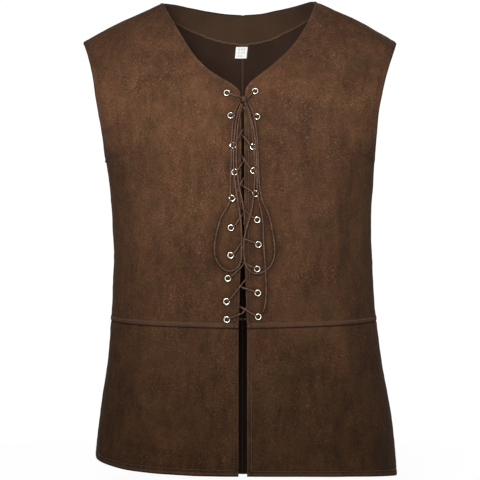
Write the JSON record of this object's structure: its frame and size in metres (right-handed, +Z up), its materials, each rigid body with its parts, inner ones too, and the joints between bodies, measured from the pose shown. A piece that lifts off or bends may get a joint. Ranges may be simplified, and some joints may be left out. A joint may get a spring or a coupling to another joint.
{
  "type": "medieval vest",
  "caption": "Sleeveless faux suede costume vest, laced down the front through metal eyelets, with a waist seam and an open-fronted skirt.",
  "frame": {"origin": "between the neck ends of the two shoulder seams, where the wearer's shoulders carry the vest", "axes": "+Z up, the front faces -Y, the wearer's left is +X"},
  "size_m": [0.4661, 0.2662, 0.7212],
  "materials": {
    "suede": "brown faux suede, mottled nap",
    "facing": "plain brown inner facing",
    "label": null,
    "eyelet_metal": "bright nickel",
    "lace": "brown round cord"
  },
  "bodies": {
    "root": {"front_right": "suede", "front_left": "suede", "back_right": "suede", "back_left": "suede", "front_skirt_right": "suede", "front_skirt_left": "suede", "back_skirt_right": "suede", "back_skirt_left": "suede", "back_neck_facing": "facing", "care_label": "label", "eyelet_right_1": "eyelet_metal", "eyelet_right_2": "eyelet_metal", "eyelet_right_3": "eyelet_metal", "eyelet_right_4": "eyelet_metal", "eyelet_right_5": "eyelet_metal", "eyelet_right_6": "eyelet_metal", "eyelet_right_7": "eyelet_metal", "eyelet_right_8": "eyelet_metal", "eyelet_right_9": "eyelet_metal", "eyelet_right_10": "eyelet_metal", "eyelet_left_1": "eyelet_metal", "eyelet_left_2": "eyelet_metal", "eyelet_left_3": "eyelet_metal", "eyelet_left_4": "eyelet_metal", "eyelet_left_5": "eyelet_metal", "eyelet_left_6": "eyelet_metal", "eyelet_left_7": "eyelet_metal", "eyelet_left_8": "eyelet_metal", "eyelet_left_9": "eyelet_metal", "eyelet_left_10": "eyelet_metal", "lace_run_right": "lace", "lace_run_left": "lace", "bow_knot": "lace", "loop_right": "lace", "loop_left": "lace", "tail_right": "lace", "tail_left": "lace"}
  },
  "joints": []
}
